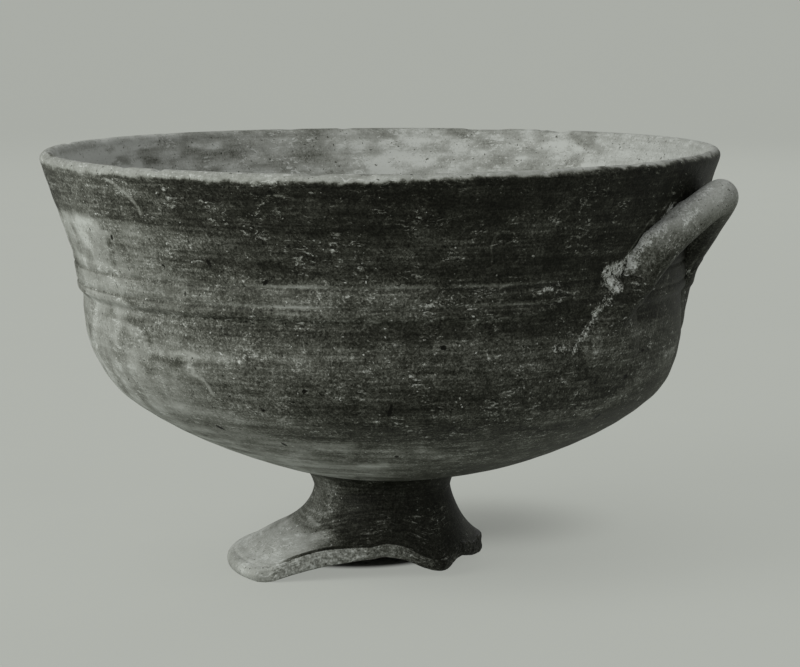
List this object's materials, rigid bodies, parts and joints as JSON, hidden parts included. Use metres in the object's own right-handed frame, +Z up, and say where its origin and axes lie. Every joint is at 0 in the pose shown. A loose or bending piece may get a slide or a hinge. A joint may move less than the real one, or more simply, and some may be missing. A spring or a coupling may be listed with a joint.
{
  "type": "footed bowl",
  "caption": "Deep wheel-thrown clay bowl with a flaring lip and ridged band, a loop handle luted to the wall, on a hollow flaring foot with part of its rim broken away.",
  "frame": {"origin": "on the standing surface, under the middle of the overall length from the far rim to the tip of the handle", "axes": "+Z up along the axis of the bowl, +X towards the handle"},
  "size_m": [0.2091, 0.2, 0.125],
  "materials": {
    "dark_slip": "fired clay under a thin dark slip, streaked by the wheel and rubbed through to paler clay on edges and ridges",
    "worn_clay": "fired clay with most of its slip worn off, rough where broken",
    "luting_clay": "smeared clay under slip, with pale lime in the creases"
  },
  "bodies": {
    "root": {"bowl": "dark_slip", "foot": "worn_clay", "foot_luting": "luting_clay", "handle": "dark_slip", "handle_luting_front": "luting_clay", "handle_luting_rear": "luting_clay"}
  },
  "joints": []
}
